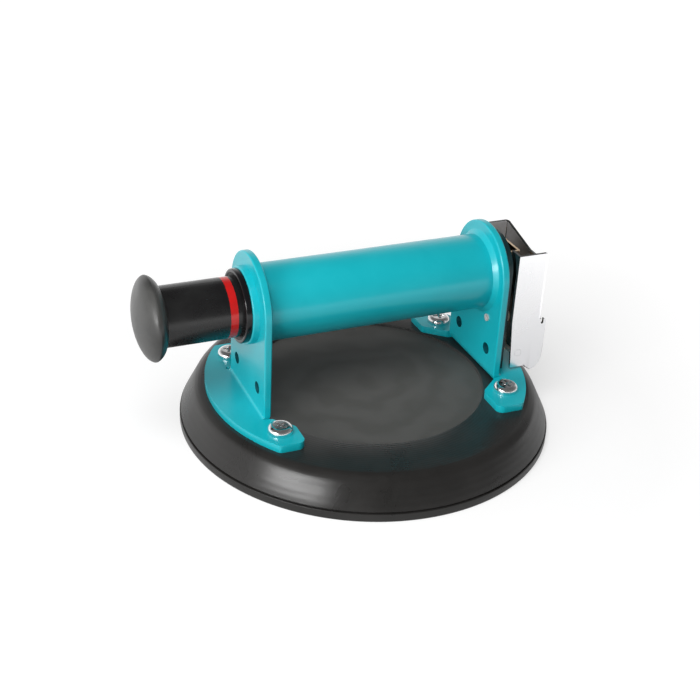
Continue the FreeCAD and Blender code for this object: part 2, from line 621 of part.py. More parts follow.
def valve_guide_bracket():
    """Chromed channel on the manifold: it guides the valve stem and carries the lever's pin."""
    t, w = GUIDE_SHEET, GUIDE_HALF_W
    body = box(MANIFOLD_OUT_X, GUIDE_OUT_X, -w, w, GUIDE_BOTTOM_Z, GUIDE_TOP_Z)
    body = round_edges(body, t, lambda e: e.BoundBox.XMin > GUIDE_OUT_X - 0.01
                       and e.BoundBox.YLength < 0.01 and e.BoundBox.ZLength > 1)
    body = body.cut(box(MANIFOLD_OUT_X - 1, GUIDE_OUT_X - t, -w + t, w - t,
                        GUIDE_BOTTOM_Z - 1, GUIDE_TOP_Z + 1))
    for s in (-1, 1):
        y0, y1 = sorted((s * (w - t), s * GUIDE_FOOT_Y))
        body = body.fuse(box(MANIFOLD_OUT_X, MANIFOLD_OUT_X + t, y0, y1, *GUIDE_FOOT_Z))
        for z in rivet_heights():
            body = body.cut(cyl_x(RIVET_R + FIT, MANIFOLD_OUT_X - 1, MANIFOLD_OUT_X + t + 1,
                                  s * RIVET_Y, z))
    body = body.cut(cyl_y(PIN_R + FIT, -w - 1, w + 1, PIN_X, PIN_Z))
    return body.cut(cyl_x(STEM_R + RUN, GUIDE_OUT_X - t - 1, GUIDE_OUT_X + 1))


def guide_rivets():
    out = []
    for s in (-1, 1):
        for z in rivet_heights():
            x1 = MANIFOLD_OUT_X + GUIDE_SHEET
            shank = cyl_x(RIVET_R, MANIFOLD_IN_X, x1, s * RIVET_Y, z)
            head = cyl_x(RIVET_HEAD_R, x1, x1 + RIVET_HEAD_H, s * RIVET_Y, z)
            head = round_edges(head, RIVET_HEAD_H * 0.7, lambda e: e.BoundBox.XMin > x1 + 0.9
                               and e.BoundBox.XLength < 0.01)
            out.append(shank.fuse(head).removeSplitter())
    return Part.Compound(out)


def release_valve_stem():
    x0 = MANIFOLD_OUT_X + FIT + STEM_SEAL_T
    disc = cyl_x(STEM_DISC_R, x0, x0 + STEM_DISC_T)
    end = LEVER_BACK_X + STEM_NUT_GAP + STEM_NUT_H * 0.7
    return disc.fuse(cyl_x(STEM_R, x0, end))


def release_valve_seal():
    x0 = MANIFOLD_OUT_X + FIT
    return cyl_x(STEM_SEAL_R, x0, x0 + STEM_SEAL_T)


def release_valve_spring():
    x0 = MANIFOLD_OUT_X + FIT + STEM_SEAL_T + STEM_DISC_T
    return coil_x(STEM_SPRING_R, STEM_SPRING_WIRE_R, x0, GUIDE_OUT_X - GUIDE_SHEET, STEM_SPRING_TURNS)


def stem_cap_nut():
    x0 = LEVER_BACK_X + STEM_NUT_GAP
    body = cyl_x(STEM_NUT_R, x0, x0 + STEM_NUT_H)
    body = round_edges(body, STEM_NUT_H * 0.6, lambda e: e.BoundBox.XMin > x0 + STEM_NUT_H - 0.01)
    return body.cut(cyl_x(STEM_R + FIT, x0 - 1, x0 + STEM_NUT_H * 0.7))


# ---- release lever ------------------------------------------------------------------------------------
def cheek_outline(y0, y1):
    """Side of the lever: a straight upper part and a leg that stands out past the back."""
    back, leg = LEVER_BACK_X, LEVER_BACK_X + LEG_OUT
    pts = [(LEVER_IN_X, LEVER_TOP_Z), (back, LEVER_TOP_Z), (back, BACK_BOTTOM_Z), (leg, BACK_BOTTOM_Z),
           (leg, LEVER_BOTTOM_Z), (LEVER_IN_X + LEG_IN_CUT, LEVER_BOTTOM_Z),
           (LEVER_IN_X, BACK_BOTTOM_Z)]
    wire = Part.makePolygon([V(x, y0, z) for x, z in pts + pts[:1]])
    body = Part.Face(wire).extrude(V(0, y1 - y0, 0))
    mid = (y0 + y1) / 2
    body = fillet_at(body, LEG_ROUND, [V(leg, mid, LEVER_BOTTOM_Z)])
    return fillet_at(body, LEVER_BEND_R, [V(leg, mid, BACK_BOTTOM_Z)])


def back_outline():
    """The lever's back from behind: straight sides and a slanted thumb notch in the top edge."""
    w = LEVER_HALF_W
    pts = [(-w, BACK_BOTTOM_Z), (w, BACK_BOTTOM_Z), (w, LEVER_TOP_Z), (NOTCH_Y[0], NOTCH_FLOOR_Z),
           (NOTCH_Y[1], NOTCH_FLOOR_Z), (-w, LEVER_TOP_Z)]
    wire = Part.makePolygon([V(LEVER_IN_X, y, z) for y, z in pts + pts[:1]])
    return Part.Face(wire).extrude(V(LEVER_BACK_X - LEVER_IN_X, 0, 0))


def lip(y_side):
    """Inward lip along the cheek's inner edge, wider at the top."""
    w, x = LEVER_HALF_W, LEVER_IN_X
    pts = [(w - LEVER_SHEET / 2, LIP_END_Z), (w - LIP_LOW_W + 1, LIP_END_Z),
           (w - LIP_LOW_W, LIP_END_Z + 1), (w - LIP_LOW_W, LIP_LOW_Z), (w - LIP_TOP_W, LEVER_TOP_Z),
           (w - LEVER_SHEET / 2, LEVER_TOP_Z)]
    wire = Part.makePolygon([V(x, y_side * y, z) for y, z in pts + pts[:1]])
    plate = Part.Face(wire).extrude(V(LEVER_SHEET, 0, 0))
    set_back = LEG_IN_CUT * (BACK_BOTTOM_Z - LIP_END_Z) / (BACK_BOTTOM_Z - LEVER_BOTTOM_Z)
    lower = Part.Face(Part.makePolygon([
        V(x - 1, -w - 1, BACK_BOTTOM_Z), V(x, -w - 1, BACK_BOTTOM_Z),
        V(x + set_back, -w - 1, LIP_END_Z), V(x + set_back, -w - 1, LIP_END_Z - 1),
        V(x - 1, -w - 1, LIP_END_Z - 1), V(x - 1, -w - 1, BACK_BOTTOM_Z)])).extrude(V(0, 2 * w + 2, 0))
    return plate.cut(lower)


def release_lever():
    w, t = LEVER_HALF_W, LEVER_SHEET
    channel = box(LEVER_IN_X, LEVER_BACK_X, -w, w, BACK_BOTTOM_Z, LEVER_TOP_Z)
    channel = round_edges(channel, LEVER_BEND_R, lambda e: e.BoundBox.XMin > LEVER_BACK_X - 0.01
                          and e.BoundBox.YLength < 0.01 and e.BoundBox.ZLength > 1)
    hollow = box(LEVER_IN_X - 1, LEVER_BACK_X - t, -w + t, w - t, BACK_BOTTOM_Z - 1, LEVER_TOP_Z + 1)
    hollow = round_edges(hollow, LEVER_BEND_R - t, lambda e: e.BoundBox.XMin > LEVER_BACK_X - t - 0.01
                         and e.BoundBox.YLength < 0.01 and e.BoundBox.ZLength > 1)
    body = channel.cut(hollow).common(back_outline())
    slot_x, slot_z = LEVER_BACK_X + RELIEF_OUT, BACK_BOTTOM_Z - RELIEF_DEPTH + RELIEF_W / 2
    for s in (-1, 1):
        y0, y1 = sorted((s * w, s * (w - t)))
        cheek = cheek_outline(y0, y1)
        corner = box(LEVER_BACK_X - LEVER_BEND_R, LEVER_BACK_X + 1, y0 - 1, y1 + 1,
                     BACK_BOTTOM_Z, LEVER_TOP_Z + 1)
        body = body.fuse(cheek.cut(corner)).fuse(lip(s))
        relief = box(slot_x - RELIEF_W / 2, slot_x + RELIEF_W / 2, y0 - 1, y1 + 1, slot_z, BACK_BOTTOM_Z)
        body = body.cut(relief.fuse(cyl_y(RELIEF_W / 2, y0 - 1, y1 + 1, slot_x, slot_z)))
    body = body.cut(cyl_y(PIN_R + RUN, -w - 1, w + 1, PIN_X, PIN_Z))
    return body.cut(cyl_x(SLOT_R, LEVER_BACK_X - t - 1, LEVER_BACK_X + 1))


def lever_pin():
    return cyl_y(PIN_R, -LEVER_HALF_W, LEVER_HALF_W, PIN_X, PIN_Z)


def pin_spacers():
    y0, y1 = GUIDE_HALF_W + RUN, LEVER_HALF_W - LEVER_SHEET - SPACER_GAP
    one = cyl_y(SPACER_R, y0, y1, PIN_X, PIN_Z).cut(cyl_y(PIN_R + FIT, y0 - 1, y1 + 1, PIN_X, PIN_Z))
    return Part.Compound([one, mirror_y(one)])


PIECES = [suction_pad, pad_backing_plate, threaded_bosses, plunger_end_bracket, valve_end_bracket,
          foot_screws, handle_tube, end_gland, gland_wiper, guide_sleeve, plunger_shaft,
          vacuum_indicator_ring, plunger_knob, piston, piston_seal, return_spring, cylinder_head,
          head_seal, intake_valve_retainer, intake_valve_disc, intake_valve_spring,
          exhaust_flap_valve, manifold_gasket, valve_manifold, manifold_screws, port_tube, port_seal,
          intake_filter, valve_guide_bracket, guide_rivets, release_valve_stem, release_valve_seal,
          release_valve_spring, stem_cap_nut, release_lever, lever_pin, pin_spacers]

for piece in PIECES:
    save(piece(), piece.__name__)
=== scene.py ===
# %% [markdown]
# # A hand-pump suction lifter, dressed for the studio
#
# The construction model brings every piece at its real size and place: a rubber vacuum pad, two
# bent steel brackets, a handle tube that is its own vacuum pump, a plunger with a warning ring, and
# a release lever. Blender's work here is the finish: moulded rubber, powder coat, chrome, plastic.
#
# The frame is loaded first. Everything after it is placed from the frame's own boxes, so a piece
# made here sits where the construction says, with no fitting.

# %% Load the frame
import json
import math

import bmesh
import bpy
from mathutils import Matrix, Vector


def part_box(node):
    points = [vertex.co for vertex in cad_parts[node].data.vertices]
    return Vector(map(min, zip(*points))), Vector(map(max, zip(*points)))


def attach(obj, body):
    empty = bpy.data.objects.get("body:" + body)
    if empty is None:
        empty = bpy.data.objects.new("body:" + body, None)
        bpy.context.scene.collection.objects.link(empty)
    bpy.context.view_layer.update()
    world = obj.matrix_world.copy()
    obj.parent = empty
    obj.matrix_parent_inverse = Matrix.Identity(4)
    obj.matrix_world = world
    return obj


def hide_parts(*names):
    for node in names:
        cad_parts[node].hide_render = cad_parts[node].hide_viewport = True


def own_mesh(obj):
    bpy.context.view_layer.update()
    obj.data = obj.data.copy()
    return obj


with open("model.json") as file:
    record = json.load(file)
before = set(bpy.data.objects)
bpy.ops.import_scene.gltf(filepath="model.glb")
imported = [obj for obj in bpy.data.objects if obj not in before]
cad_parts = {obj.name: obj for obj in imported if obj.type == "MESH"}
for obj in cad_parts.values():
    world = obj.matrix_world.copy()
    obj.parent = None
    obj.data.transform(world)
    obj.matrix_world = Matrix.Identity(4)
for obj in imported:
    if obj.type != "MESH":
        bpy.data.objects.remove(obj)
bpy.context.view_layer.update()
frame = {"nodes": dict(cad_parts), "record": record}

nodes = frame["nodes"]

# %% [markdown]
# ## Sizes read from the frame
#
# A designer's drawing names its main sizes once. Here they are read from the boxes of the nodes, so
# a change in the construction model carries over by itself. `MM` lets small sizes be written as a
# maker says them, and the outlines of the turned pieces are in millimetres throughout.

# %% Main sizes
MM = 0.001
_, pad_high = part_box("suction_pad")
tube_low, tube_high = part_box("handle_tube")
gland_low, gland_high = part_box("end_gland")
lever_low, lever_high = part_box("release_lever")
pin_low, pin_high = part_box("lever_pin")

PAD_R, PAD_TOP = pad_high.x / MM, pad_high.z / MM
TUBE_R = (tube_high.z - tube_low.z) / 2 / MM
TUBE_X0, TUBE_X1 = tube_low.x / MM, tube_high.x / MM
AXIS_Z = (tube_high.z + tube_low.z) / 2

ORIGIN, UP = Vector((0, 0, 0)), Vector((0, 0, 1))
AXIS, ALONG = Vector((0, 0, AXIS_Z)), Vector((1, 0, 0))
print(f"pad {PAD_R:.1f} mm radius, {PAD_TOP:.1f} mm high; tube {TUBE_R:.1f} mm radius")

# %% [markdown]
# ## Putting things in the scene
#
# What mesh code makes, a lamp and the camera all enter the scene in the same way.

# %% Scene helpers
def new_object(name, data):
    """An object in the scene that holds the data."""
    made = bpy.data.objects.new(name, data)
    bpy.context.scene.collection.objects.link(made)
    return made


def new_mesh_object(name, bm):
    """The result of mesh code as an object at the origin."""
    mesh = bpy.data.meshes.new(name)
    bm.to_mesh(mesh)
    bm.free()
    return new_object(name, mesh)


def new_material(name):
    """A material with an untouched Principled shader."""
    made = bpy.data.materials.new(name)
    made.use_nodes = True
    return made


# %% [markdown]
# ## Building node trees
#
# Every finish is a small tree of nodes, and most of a tree is plumbing. These helpers do it in one
# call each: an input takes either a plain value or another node's output.

# %% Node helpers
def feed(tree, socket, value):
    """Fills an input with another node's output, or with a plain value."""
    if isinstance(value, bpy.types.NodeSocket):
        tree.links.new(value, socket)
    else:
        socket.default_value = value


def add(tree, kind, **settings):
    """One node. Its properties and its inputs are set by name, with _ for a space."""
    node = tree.nodes.new(kind)
    for key, value in settings.items():
        if hasattr(node, key):
            setattr(node, key, value)
        else:
            feed(tree, node.inputs[key.replace("_", " ")], value)
    return node


def fill_shader(tree, **inputs):
    """Fills inputs of the tree's Principled shader by name, with _ for a space."""
    shader = tree.nodes["Principled BSDF"]
    for key, value in inputs.items():
        feed(tree, shader.inputs[key.replace("_", " ")], value)


def calculate(tree, operation, *values, clamp=False):
    """The result of one Math node, with its inputs in order."""
    node = add(tree, "ShaderNodeMath", operation=operation, use_clamp=clamp)
    for socket, value in zip(node.inputs, values):
        feed(tree, socket, value)
    return node.outputs["Value"]


def mix(tree, kind, factor, a, b):
    """Goes from a to b as the factor goes from 0 to 1. kind is FLOAT, or RGBA for colours."""
    node = add(tree, "ShaderNodeMix", data_type=kind, Factor=factor, A=a, B=b)
    return node.outputs["Result"]


def ramp(tree, source, low, high, to_low=0.0, to_high=1.0):
    """Stretches a value from low..high to to_low..to_high, clamped."""
    node = add(tree, "ShaderNodeMapRange", clamp=True, Value=source, From_Min=low, From_Max=high,
               To_Min=to_low, To_Max=to_high)
    return node.outputs["Result"]


def distance_out(tree, place):
    """How far a place is from the origin."""
    length = add(tree, "ShaderNodeVectorMath", operation="LENGTH", Vector=place)
    return length.outputs["Value"]


def object_place(tree):
    """The place on the surface, in the object's own coordinates."""
    return add(tree, "ShaderNodeTexCoord").outputs["Object"]


# %% [markdown]
# ## Shared effects as node groups
#
# Four effects return, so each is built once as a node group with named inputs and one output:
#
# * `fine_skin`: the small relief of a moulded or sprayed surface, as a height for a Bump node.
# * `handling`: large soft clouds where hands and storage have dulled a surface, as a mask.
# * `scuffs`: thin random scratches, as a mask.
# * `round_zone`: the inside of a circle about the upright axis, as a mask.
#
# A group gives out only masks and heights. The shader itself stays in each material, where the
# export can read it.

# %% Node groups
CLOUD_RANGE = 0.38, 0.68
PATCH_RANGE = 0.52, 0.62
SCRATCH_CELLS = 60.0
SCRATCH_WIDTH = 0.012


def new_group(name, inputs, output):
    """An empty node group with float sockets: its tree, its inputs by name, and its output."""
    group = bpy.data.node_groups.new(name, "ShaderNodeTree")
    for socket, value in inputs.items():
        made = group.interface.new_socket(socket, in_out="INPUT", socket_type="NodeSocketFloat")
        made.default_value = value
    group.interface.new_socket(output, in_out="OUTPUT", socket_type="NodeSocketFloat")
    start, end = group.nodes.new("NodeGroupInput"), group.nodes.new("NodeGroupOutput")
    return group, start.outputs, end.inputs[output]


def make_fine_skin():
    """Fine relief: a small grain and a wider, softer wave, as one height."""
    group, given, out = new_group("fine_skin", {"Grain": 900.0, "Wave": 250.0, "Share": 0.5},
                                  "Height")
    where = object_place(group)
    grain = add(group, "ShaderNodeTexNoise", Vector=where, Scale=given["Grain"],
                Detail=3.0, Roughness=0.6)
    wave = add(group, "ShaderNodeTexNoise", Vector=where, Scale=given["Wave"],
               Detail=1.0, Roughness=0.4)
    feed(group, out, mix(group, "FLOAT", given["Share"], wave.outputs["Fac"],
                         grain.outputs["Fac"]))
    return group


def make_handling():
    """Soft clouds of wear, 0 to 1."""
    group, given, out = new_group("handling", {"Size": 22.0}, "Mask")
    cloud = add(group, "ShaderNodeTexNoise", Vector=object_place(group), Scale=given["Size"],
                Detail=4.0, Roughness=0.62, Distortion=0.6)
    feed(group, out, ramp(group, cloud.outputs["Fac"], *CLOUD_RANGE))
    return group


def make_scuffs():
    """Thin scratches that run in patches, 0 to 1."""
    group, given, out = new_group("scuffs", {"Amount": 1.0}, "Mask")
    where = object_place(group)
    stretch = add(group, "ShaderNodeMapping", Vector=where, Scale=(1.0, 0.25, 0.35),
                  Rotation=(0.3, 0.9, 0.5))
    cells = add(group, "ShaderNodeTexVoronoi", feature="DISTANCE_TO_EDGE",
                Vector=stretch.outputs["Vector"], Scale=SCRATCH_CELLS)
    patch = add(group, "ShaderNodeTexNoise", Vector=where, Scale=30.0, Detail=2.0)
    lines = ramp(group, cells.outputs["Distance"], 0.0, SCRATCH_WIDTH, 1.0, 0.0)
    patches = ramp(group, patch.outputs["Fac"], *PATCH_RANGE)
    thin = calculate(group, "MULTIPLY", lines, patches)
    feed(group, out, calculate(group, "MULTIPLY", thin, given["Amount"]))
    return group


def make_round_zone():
    """1 inside a radius about the upright axis, 0 outside, with a soft edge. Sizes in metres."""
    group, given, out = new_group("round_zone", {"Radius": 0.05, "Soft": 0.001}, "Mask")
    flat = add(group, "ShaderNodeVectorMath", operation="MULTIPLY", Vector=object_place(group))
    flat.inputs[1].default_value = (1.0, 1.0, 0.0)
    inside = calculate(group, "SUBTRACT", given["Radius"],
                       distance_out(group, flat.outputs["Vector"]))
    edge = calculate(group, "DIVIDE", inside, given["Soft"])
    feed(group, out, calculate(group, "ADD", edge, 0.5, clamp=True))
    return group


GROUPS = {group.name: group for group in
          (make_fine_skin(), make_handling(), make_scuffs(), make_round_zone())}
print("node groups:", ", ".join(GROUPS))

# %% [markdown]
# ## Finishes
#
# Each finish is one material: a Principled shader whose colour and roughness move a little over the
# surface, and a bump at the true scale of the skin. `finish` builds that common layout and keeps
# the material by its name. The list is then only a matter of values.

# %% Finish builder
FINISH = {}


def place_group(tree, name, **values):
    """The output of a node group, with its inputs set by name."""
    return add(tree, "ShaderNodeGroup", node_tree=GROUPS[name], **values).outputs[0]


def finish(name, colour, worn_colour, rough, skin, bump, cloud=22.0, scratch=0.0,
           metallic=0.0, coat=0.0, coat_rough=0.1, specular=0.5):
    """A finish that goes from fresh to worn over soft clouds, with a skin and a few scratches.
    rough is (fresh, worn), skin is (grain, wave, share) and bump is (height in mm, strength)."""
    made = new_material(name)
    tree = made.node_tree
    grain, wave, share = skin
    height, strength = bump
    worn = calculate(tree, "MAXIMUM", place_group(tree, "handling", Size=cloud),
                     place_group(tree, "scuffs", Amount=scratch))
    relief = add(tree, "ShaderNodeBump", Distance=height * MM, Strength=strength,
                 Height=place_group(tree, "fine_skin", Grain=grain, Wave=wave, Share=share))
    fill_shader(tree, Base_Color=mix(tree, "RGBA", worn, (*colour, 1), (*worn_colour, 1)),
                Roughness=ramp(tree, worn, 0, 1, *rough), Normal=relief.outputs["Normal"],
                Metallic=metallic, Specular_IOR_Level=specular, Coat_Weight=coat,
                Coat_Roughness=coat_rough)
    FINISH[name] = made


# %% [markdown]
# ## The list of finishes
#
# Each line gives the fresh and the worn colour, then the roughness of both. The blacks differ more
# in gloss than in colour: the plunger and the gland are glossy mouldings, the knob is dulled, and
# the seals are matt.

# %% Rubber, paint and plastic
finish("pad_rubber", (0.0145, 0.0138, 0.0130), (0.020, 0.019, 0.018), (0.27, 0.34),
       skin=(1500, 300, 0.7), bump=(0.04, 0.4), cloud=30, specular=0.42)
finish("seal_rubber", (0.014, 0.014, 0.014), (0.025, 0.025, 0.025), (0.45, 0.6),
       skin=(1500, 300, 0.6), bump=(0.04, 0.4))
finish("filter_foam", (0.30, 0.30, 0.28), (0.20, 0.20, 0.19), (0.9, 0.95),
       skin=(3500, 1500, 0.5), bump=(0.3, 0.9), cloud=300)
finish("teal_paint", (0.003, 0.400, 0.465), (0.006, 0.425, 0.490), (0.30, 0.38),
       skin=(1300, 420, 0.40), bump=(0.07, 0.5), cloud=40, coat=0.2, coat_rough=0.12)
# painted shade: a dark teal for the shadow inside the two gauge holes
finish("hole_wall_painted_shade", (0.002, 0.075, 0.095), (0.004, 0.105, 0.125), (0.4, 0.55),
       skin=(1300, 420, 0.4), bump=(0.05, 0.5), cloud=150)
finish("manifold_black", (0.004, 0.026, 0.030), (0.008, 0.034, 0.038), (0.35, 0.5),
       skin=(1500, 400, 0.5), bump=(0.03, 0.3), scratch=0.3)
finish("gloss_black", (0.007, 0.0065, 0.007), (0.012, 0.012, 0.012), (0.24, 0.34),
       skin=(1800, 260, 0.5), bump=(0.03, 0.35), cloud=60, scratch=0.35)
finish("matte_black", (0.004, 0.004, 0.005), (0.007, 0.007, 0.008), (0.13, 0.22),
       skin=(1900, 300, 0.7), bump=(0.05, 0.5), cloud=50, scratch=0.2, specular=0.4)
finish("knob_skin", (0.030, 0.030, 0.029), (0.052, 0.052, 0.050), (0.30, 0.46),
       skin=(1400, 160, 0.6), bump=(0.06, 0.5), cloud=55, scratch=0.3)
finish("warning_red", (0.52, 0.008, 0.008), (0.42, 0.009, 0.009), (0.16, 0.26),
       skin=(1500, 300, 0.5), bump=(0.03, 0.3), cloud=90)
finish("natural_plastic", (0.72, 0.71, 0.67), (0.64, 0.62, 0.57), (0.35, 0.5),
       skin=(1500, 300, 0.5), bump=(0.03, 0.3))
print("finishes so far:", len(FINISH))

# %% Bare and plated metal
finish("chrome_steel", (0.87, 0.87, 0.87), (0.80, 0.80, 0.81), (0.07, 0.14),
       skin=(1200, 60, 0.2), bump=(0.04, 0.15), metallic=1.0, scratch=0.3)
finish("screw_chrome", (0.93, 0.93, 0.93), (0.74, 0.74, 0.74), (0.12, 0.26),
       skin=(2500, 600, 0.5), bump=(0.03, 0.4), cloud=160, metallic=1.0, scratch=0.3)
finish("satin_chrome", (0.95, 0.95, 0.96), (0.92, 0.92, 0.94), (0.26, 0.30),
       skin=(1200, 45, 0.1), bump=(0.012, 0.2), cloud=18, metallic=1.0)
finish("cloudy_plating", (0.80, 0.79, 0.80), (0.66, 0.64, 0.63), (0.30, 0.42),
       skin=(1200, 60, 0.2), bump=(0.03, 0.25), cloud=60, metallic=0.45)
# painted shade: a near-black for the lever's sheared edges, standing in for the shaded floor they
# reflect
finish("painted_edge_shade", (0.012, 0.012, 0.013), (0.035, 0.033, 0.031), (0.35, 0.5),
       skin=(2500, 600, 0.5), bump=(0.03, 0.4), cloud=120)
finish("bright_zinc", (0.84, 0.66, 0.46), (0.62, 0.45, 0.29), (0.16, 0.3),
       skin=(1500, 200, 0.4), bump=(0.03, 0.25), cloud=60, metallic=1.0, scratch=0.2)
finish("zinc_tip", (0.90, 0.90, 0.88), (0.45, 0.44, 0.42), (0.25, 0.42),
       skin=(2500, 600, 0.5), bump=(0.05, 0.5), cloud=420, metallic=0.4)
finish("plate_steel", (0.42, 0.43, 0.44), (0.34, 0.35, 0.36), (0.35, 0.5),
       skin=(1500, 300, 0.5), bump=(0.03, 0.3), metallic=1.0, scratch=0.3)
finish("spring_steel", (0.50, 0.50, 0.50), (0.40, 0.40, 0.41), (0.25, 0.4),
       skin=(2500, 600, 0.5), bump=(0.02, 0.3), metallic=1.0)
finish("turned_brass", (0.72, 0.52, 0.25), (0.60, 0.42, 0.20), (0.2, 0.35),
       skin=(2500, 600, 0.5), bump=(0.02, 0.3), metallic=1.0)
finish("pump_aluminium", (0.68, 0.69, 0.70), (0.60, 0.61, 0.62), (0.3, 0.42),
       skin=(1500, 300, 0.5), bump=(0.02, 0.3), metallic=1.0)
print("finishes:", len(FINISH))

# %% [markdown]
# ## The pad's own finish
#
# A press mould leaves its own surface on the rubber. The centre disc comes from a blasted insert,
# so it is matt and paler, with faint swirls where the rubber flowed outwards. The ring and the
# bevel come from turned and polished steel: they are blacker, they carry a sheen, and they keep the
# steel's fine turning marks. Both are one material here, and a round mask about the pad's axis
# changes colour, roughness and relief together at the disc's edge.

# %% Pad zones
DISC_R = 63.8
DISC_MASK_INSET = 0.2
DISC_SOFT = 0.8
DISC_DARK, DISC_PALE = (0.067, 0.065, 0.061, 1), (0.079, 0.077, 0.073, 1)
DISC_ROUGH = 0.72
BLOT_SHARE = 0.55
FLOW_RANGE = 0.30, 0.70
TURNING_HEIGHT = 0.05


def fed_by(socket):
    """The output that already feeds an input."""
    return socket.links[0].from_socket


def rings(tree, place, **settings):
    """Waves in rings about the upright axis, 0 to 1."""
    wave = add(tree, "ShaderNodeTexWave", wave_type="RINGS", rings_direction="Z",
               wave_profile="SIN", Vector=place, **settings)
    return wave.outputs["Fac"]


def dress_pad(made):
    """Adds the disc's matt zone and the ring's turning marks to the pad's finish."""
    tree = made.node_tree
    shader = tree.nodes["Principled BSDF"]
    colour, rough, normal = (shader.inputs[key] for key in ("Base Color", "Roughness", "Normal"))
    where = object_place(tree)
    disc = place_group(tree, "round_zone", Radius=(DISC_R - DISC_MASK_INSET) * MM,
                       Soft=DISC_SOFT * MM)
    swirl = rings(tree, where, Scale=14.0, Distortion=9.0, Detail=2.5, Detail_Scale=1.6,
                  Detail_Roughness=0.6)
    blot = add(tree, "ShaderNodeTexNoise", Vector=where, Scale=45.0, Detail=5.0, Roughness=0.65,
               Distortion=0.8)
    flow = mix(tree, "FLOAT", BLOT_SHARE, swirl, blot.outputs["Fac"])
    matt = mix(tree, "RGBA", ramp(tree, flow, *FLOW_RANGE), DISC_DARK, DISC_PALE)
    feed(tree, colour, mix(tree, "RGBA", disc, fed_by(colour), matt))
    feed(tree, rough, mix(tree, "FLOAT", disc, fed_by(rough), DISC_ROUGH))
    turning = rings(tree, where, Scale=190.0, Distortion=2.5, Detail=3.0, Detail_Scale=0.15,
                    Detail_Roughness=0.7)
    marks = calculate(tree, "MULTIPLY", turning, ramp(tree, disc, 0.0, 1.0, 1.0, 0.0))
    grooved = add(tree, "ShaderNodeBump", Strength=0.4, Distance=TURNING_HEIGHT * MM,
                  Height=marks, Normal=fed_by(normal))
    feed(tree, normal, grooved.outputs["Normal"])


dress_pad(FINISH["pad_rubber"])
print(f"pad finish: matt disc inside {DISC_R} mm, turned ring outside")

# %% [markdown]
# ## Finishes for the construction's own pieces
#
# Most pieces of the frame are shown as they are and only need their finish, which goes by their
# material slot. A few differ from the rest of their slot: a knob dulled by hands, screws with a
# cloudy zinc tip, a bright zinc bracket and a satin pin.

# %% Finishes by slot
OWN_FINISH = {"plunger_knob": "knob_skin", "valve_guide_bracket": "bright_zinc",
              "manifold_screws": "zinc_tip", "lever_pin": "satin_chrome"}

for row in frame["record"]["subparts"]:
    mesh = nodes[row["node"]].data
    mesh.materials.clear()
    mesh.materials.append(FINISH[OWN_FINISH.get(row["node"], row["material_slot"])])

# %% [markdown]
# ## Tools for new pieces
#
# Most of this lifter is turned or bent from sheet, and each has its own way in mesh code.
#
# * A turned piece is half its outline, spun about its axis. The outline is a few corners, and a
#   vertex bevel rounds each corner by its own amount before the spin.
# * A bent or drilled piece already has its true shape in the frame. A copy of it is merged, its
#   flat faces are joined, and its sharp edges are broken, as a file or a coat of paint would.

# %% Turned pieces
ROUND_STEPS = 5
TURNED_STEPS, PAD_STEPS = 160, 256
ON_AXIS = 0.01
TURNED_MERGE = 0.002
SMOOTH_ANGLE = 32


def turned(axis, centre, outline, steps=TURNED_STEPS):
    """A solid of revolution. outline is a closed list of (along, out, rounding) in millimetres.
    An edge that lies on the axis is left out, because it would spin to nothing."""
    side = UP if axis.x else Vector((1, 0, 0))
    bm = bmesh.new()
    verts = [bm.verts.new(centre + (axis * along + side * out) * MM) for along, out, _ in outline]
    for a, b in zip(verts, verts[1:] + verts[:1]):
        from_axis = (a.co - centre).cross(axis).length + (b.co - centre).cross(axis).length
        if from_axis > ON_AXIS * MM:
            bm.edges.new((a, b))
    for vert, (_, _, rounding) in zip(verts, outline):
        if rounding:
            bmesh.ops.bevel(bm, geom=[vert], offset=rounding * MM, segments=ROUND_STEPS,
                            profile=0.5, affect="VERTICES", offset_type="OFFSET", material=-1)
    bmesh.ops.spin(bm, geom=bm.verts[:] + bm.edges[:], cent=centre, axis=axis, angle=math.tau,
                   steps=steps, use_merge=True)
    bmesh.ops.remove_doubles(bm, verts=bm.verts, dist=TURNED_MERGE * MM)
    bmesh.ops.recalc_face_normals(bm, faces=bm.faces)
    return bm


def to_piece(bm, name, body, slot, *cad_nodes, own_finish=None, more=()):
    """Makes the mesh a named piece that rides on a body and stands for its construction nodes.
    Faces of many corners are flat sheet, so they are shaded flat. more names the finishes of the
    faces with material index 1, 2 and so on."""
    for face in bm.faces:
        face.smooth = len(face.verts) <= 4
    for edge in bm.edges:
        edge.smooth = (len(edge.link_faces) == 2
                       and edge.calc_face_angle() < math.radians(SMOOTH_ANGLE))
    piece = new_mesh_object(name, bm)
    for finish_name in (own_finish or slot, *more):
        piece.data.materials.append(FINISH[finish_name])
    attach(piece, body)
    if cad_nodes:
        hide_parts(*cad_nodes)
    print(f"{name}: {len(piece.data.polygons)} faces")
    return piece


# %% Pieces with broken edges
SHEET_MERGE = 0.001
CUT_MERGE = 0.002
FLAT_ANGLE = 0.6
SHARP_ANGLE = 35


def welded_copy(node, cuts=()):
    """A merged copy of a construction node, with its flat faces joined. Each cut is (y, z), with
    one of them None: a plane through a hole's middle, so that no joined face goes all round it."""
    bm = bmesh.new()
    bm.from_mesh(nodes[node].data)
    bmesh.ops.remove_doubles(bm, verts=bm.verts, dist=SHEET_MERGE * MM)
    for y, z in cuts:
        normal = (0, 1, 0) if z is None else (0, 0, 1)
        made = bmesh.ops.bisect_plane(bm, geom=bm.verts[:] + bm.edges[:] + bm.faces[:],
                                      plane_co=Vector((0, y or 0, z or 0)) * MM,
                                      plane_no=normal, dist=CUT_MERGE * MM)
        for part in made["geom_cut"]:
            if isinstance(part, bmesh.types.BMEdge):
                part.seam = True
    bmesh.ops.dissolve_limit(bm, angle_limit=math.radians(FLAT_ANGLE), verts=bm.verts,
                             edges=bm.edges, use_dissolve_boundaries=False, delimit={"SEAM"})
    return bm


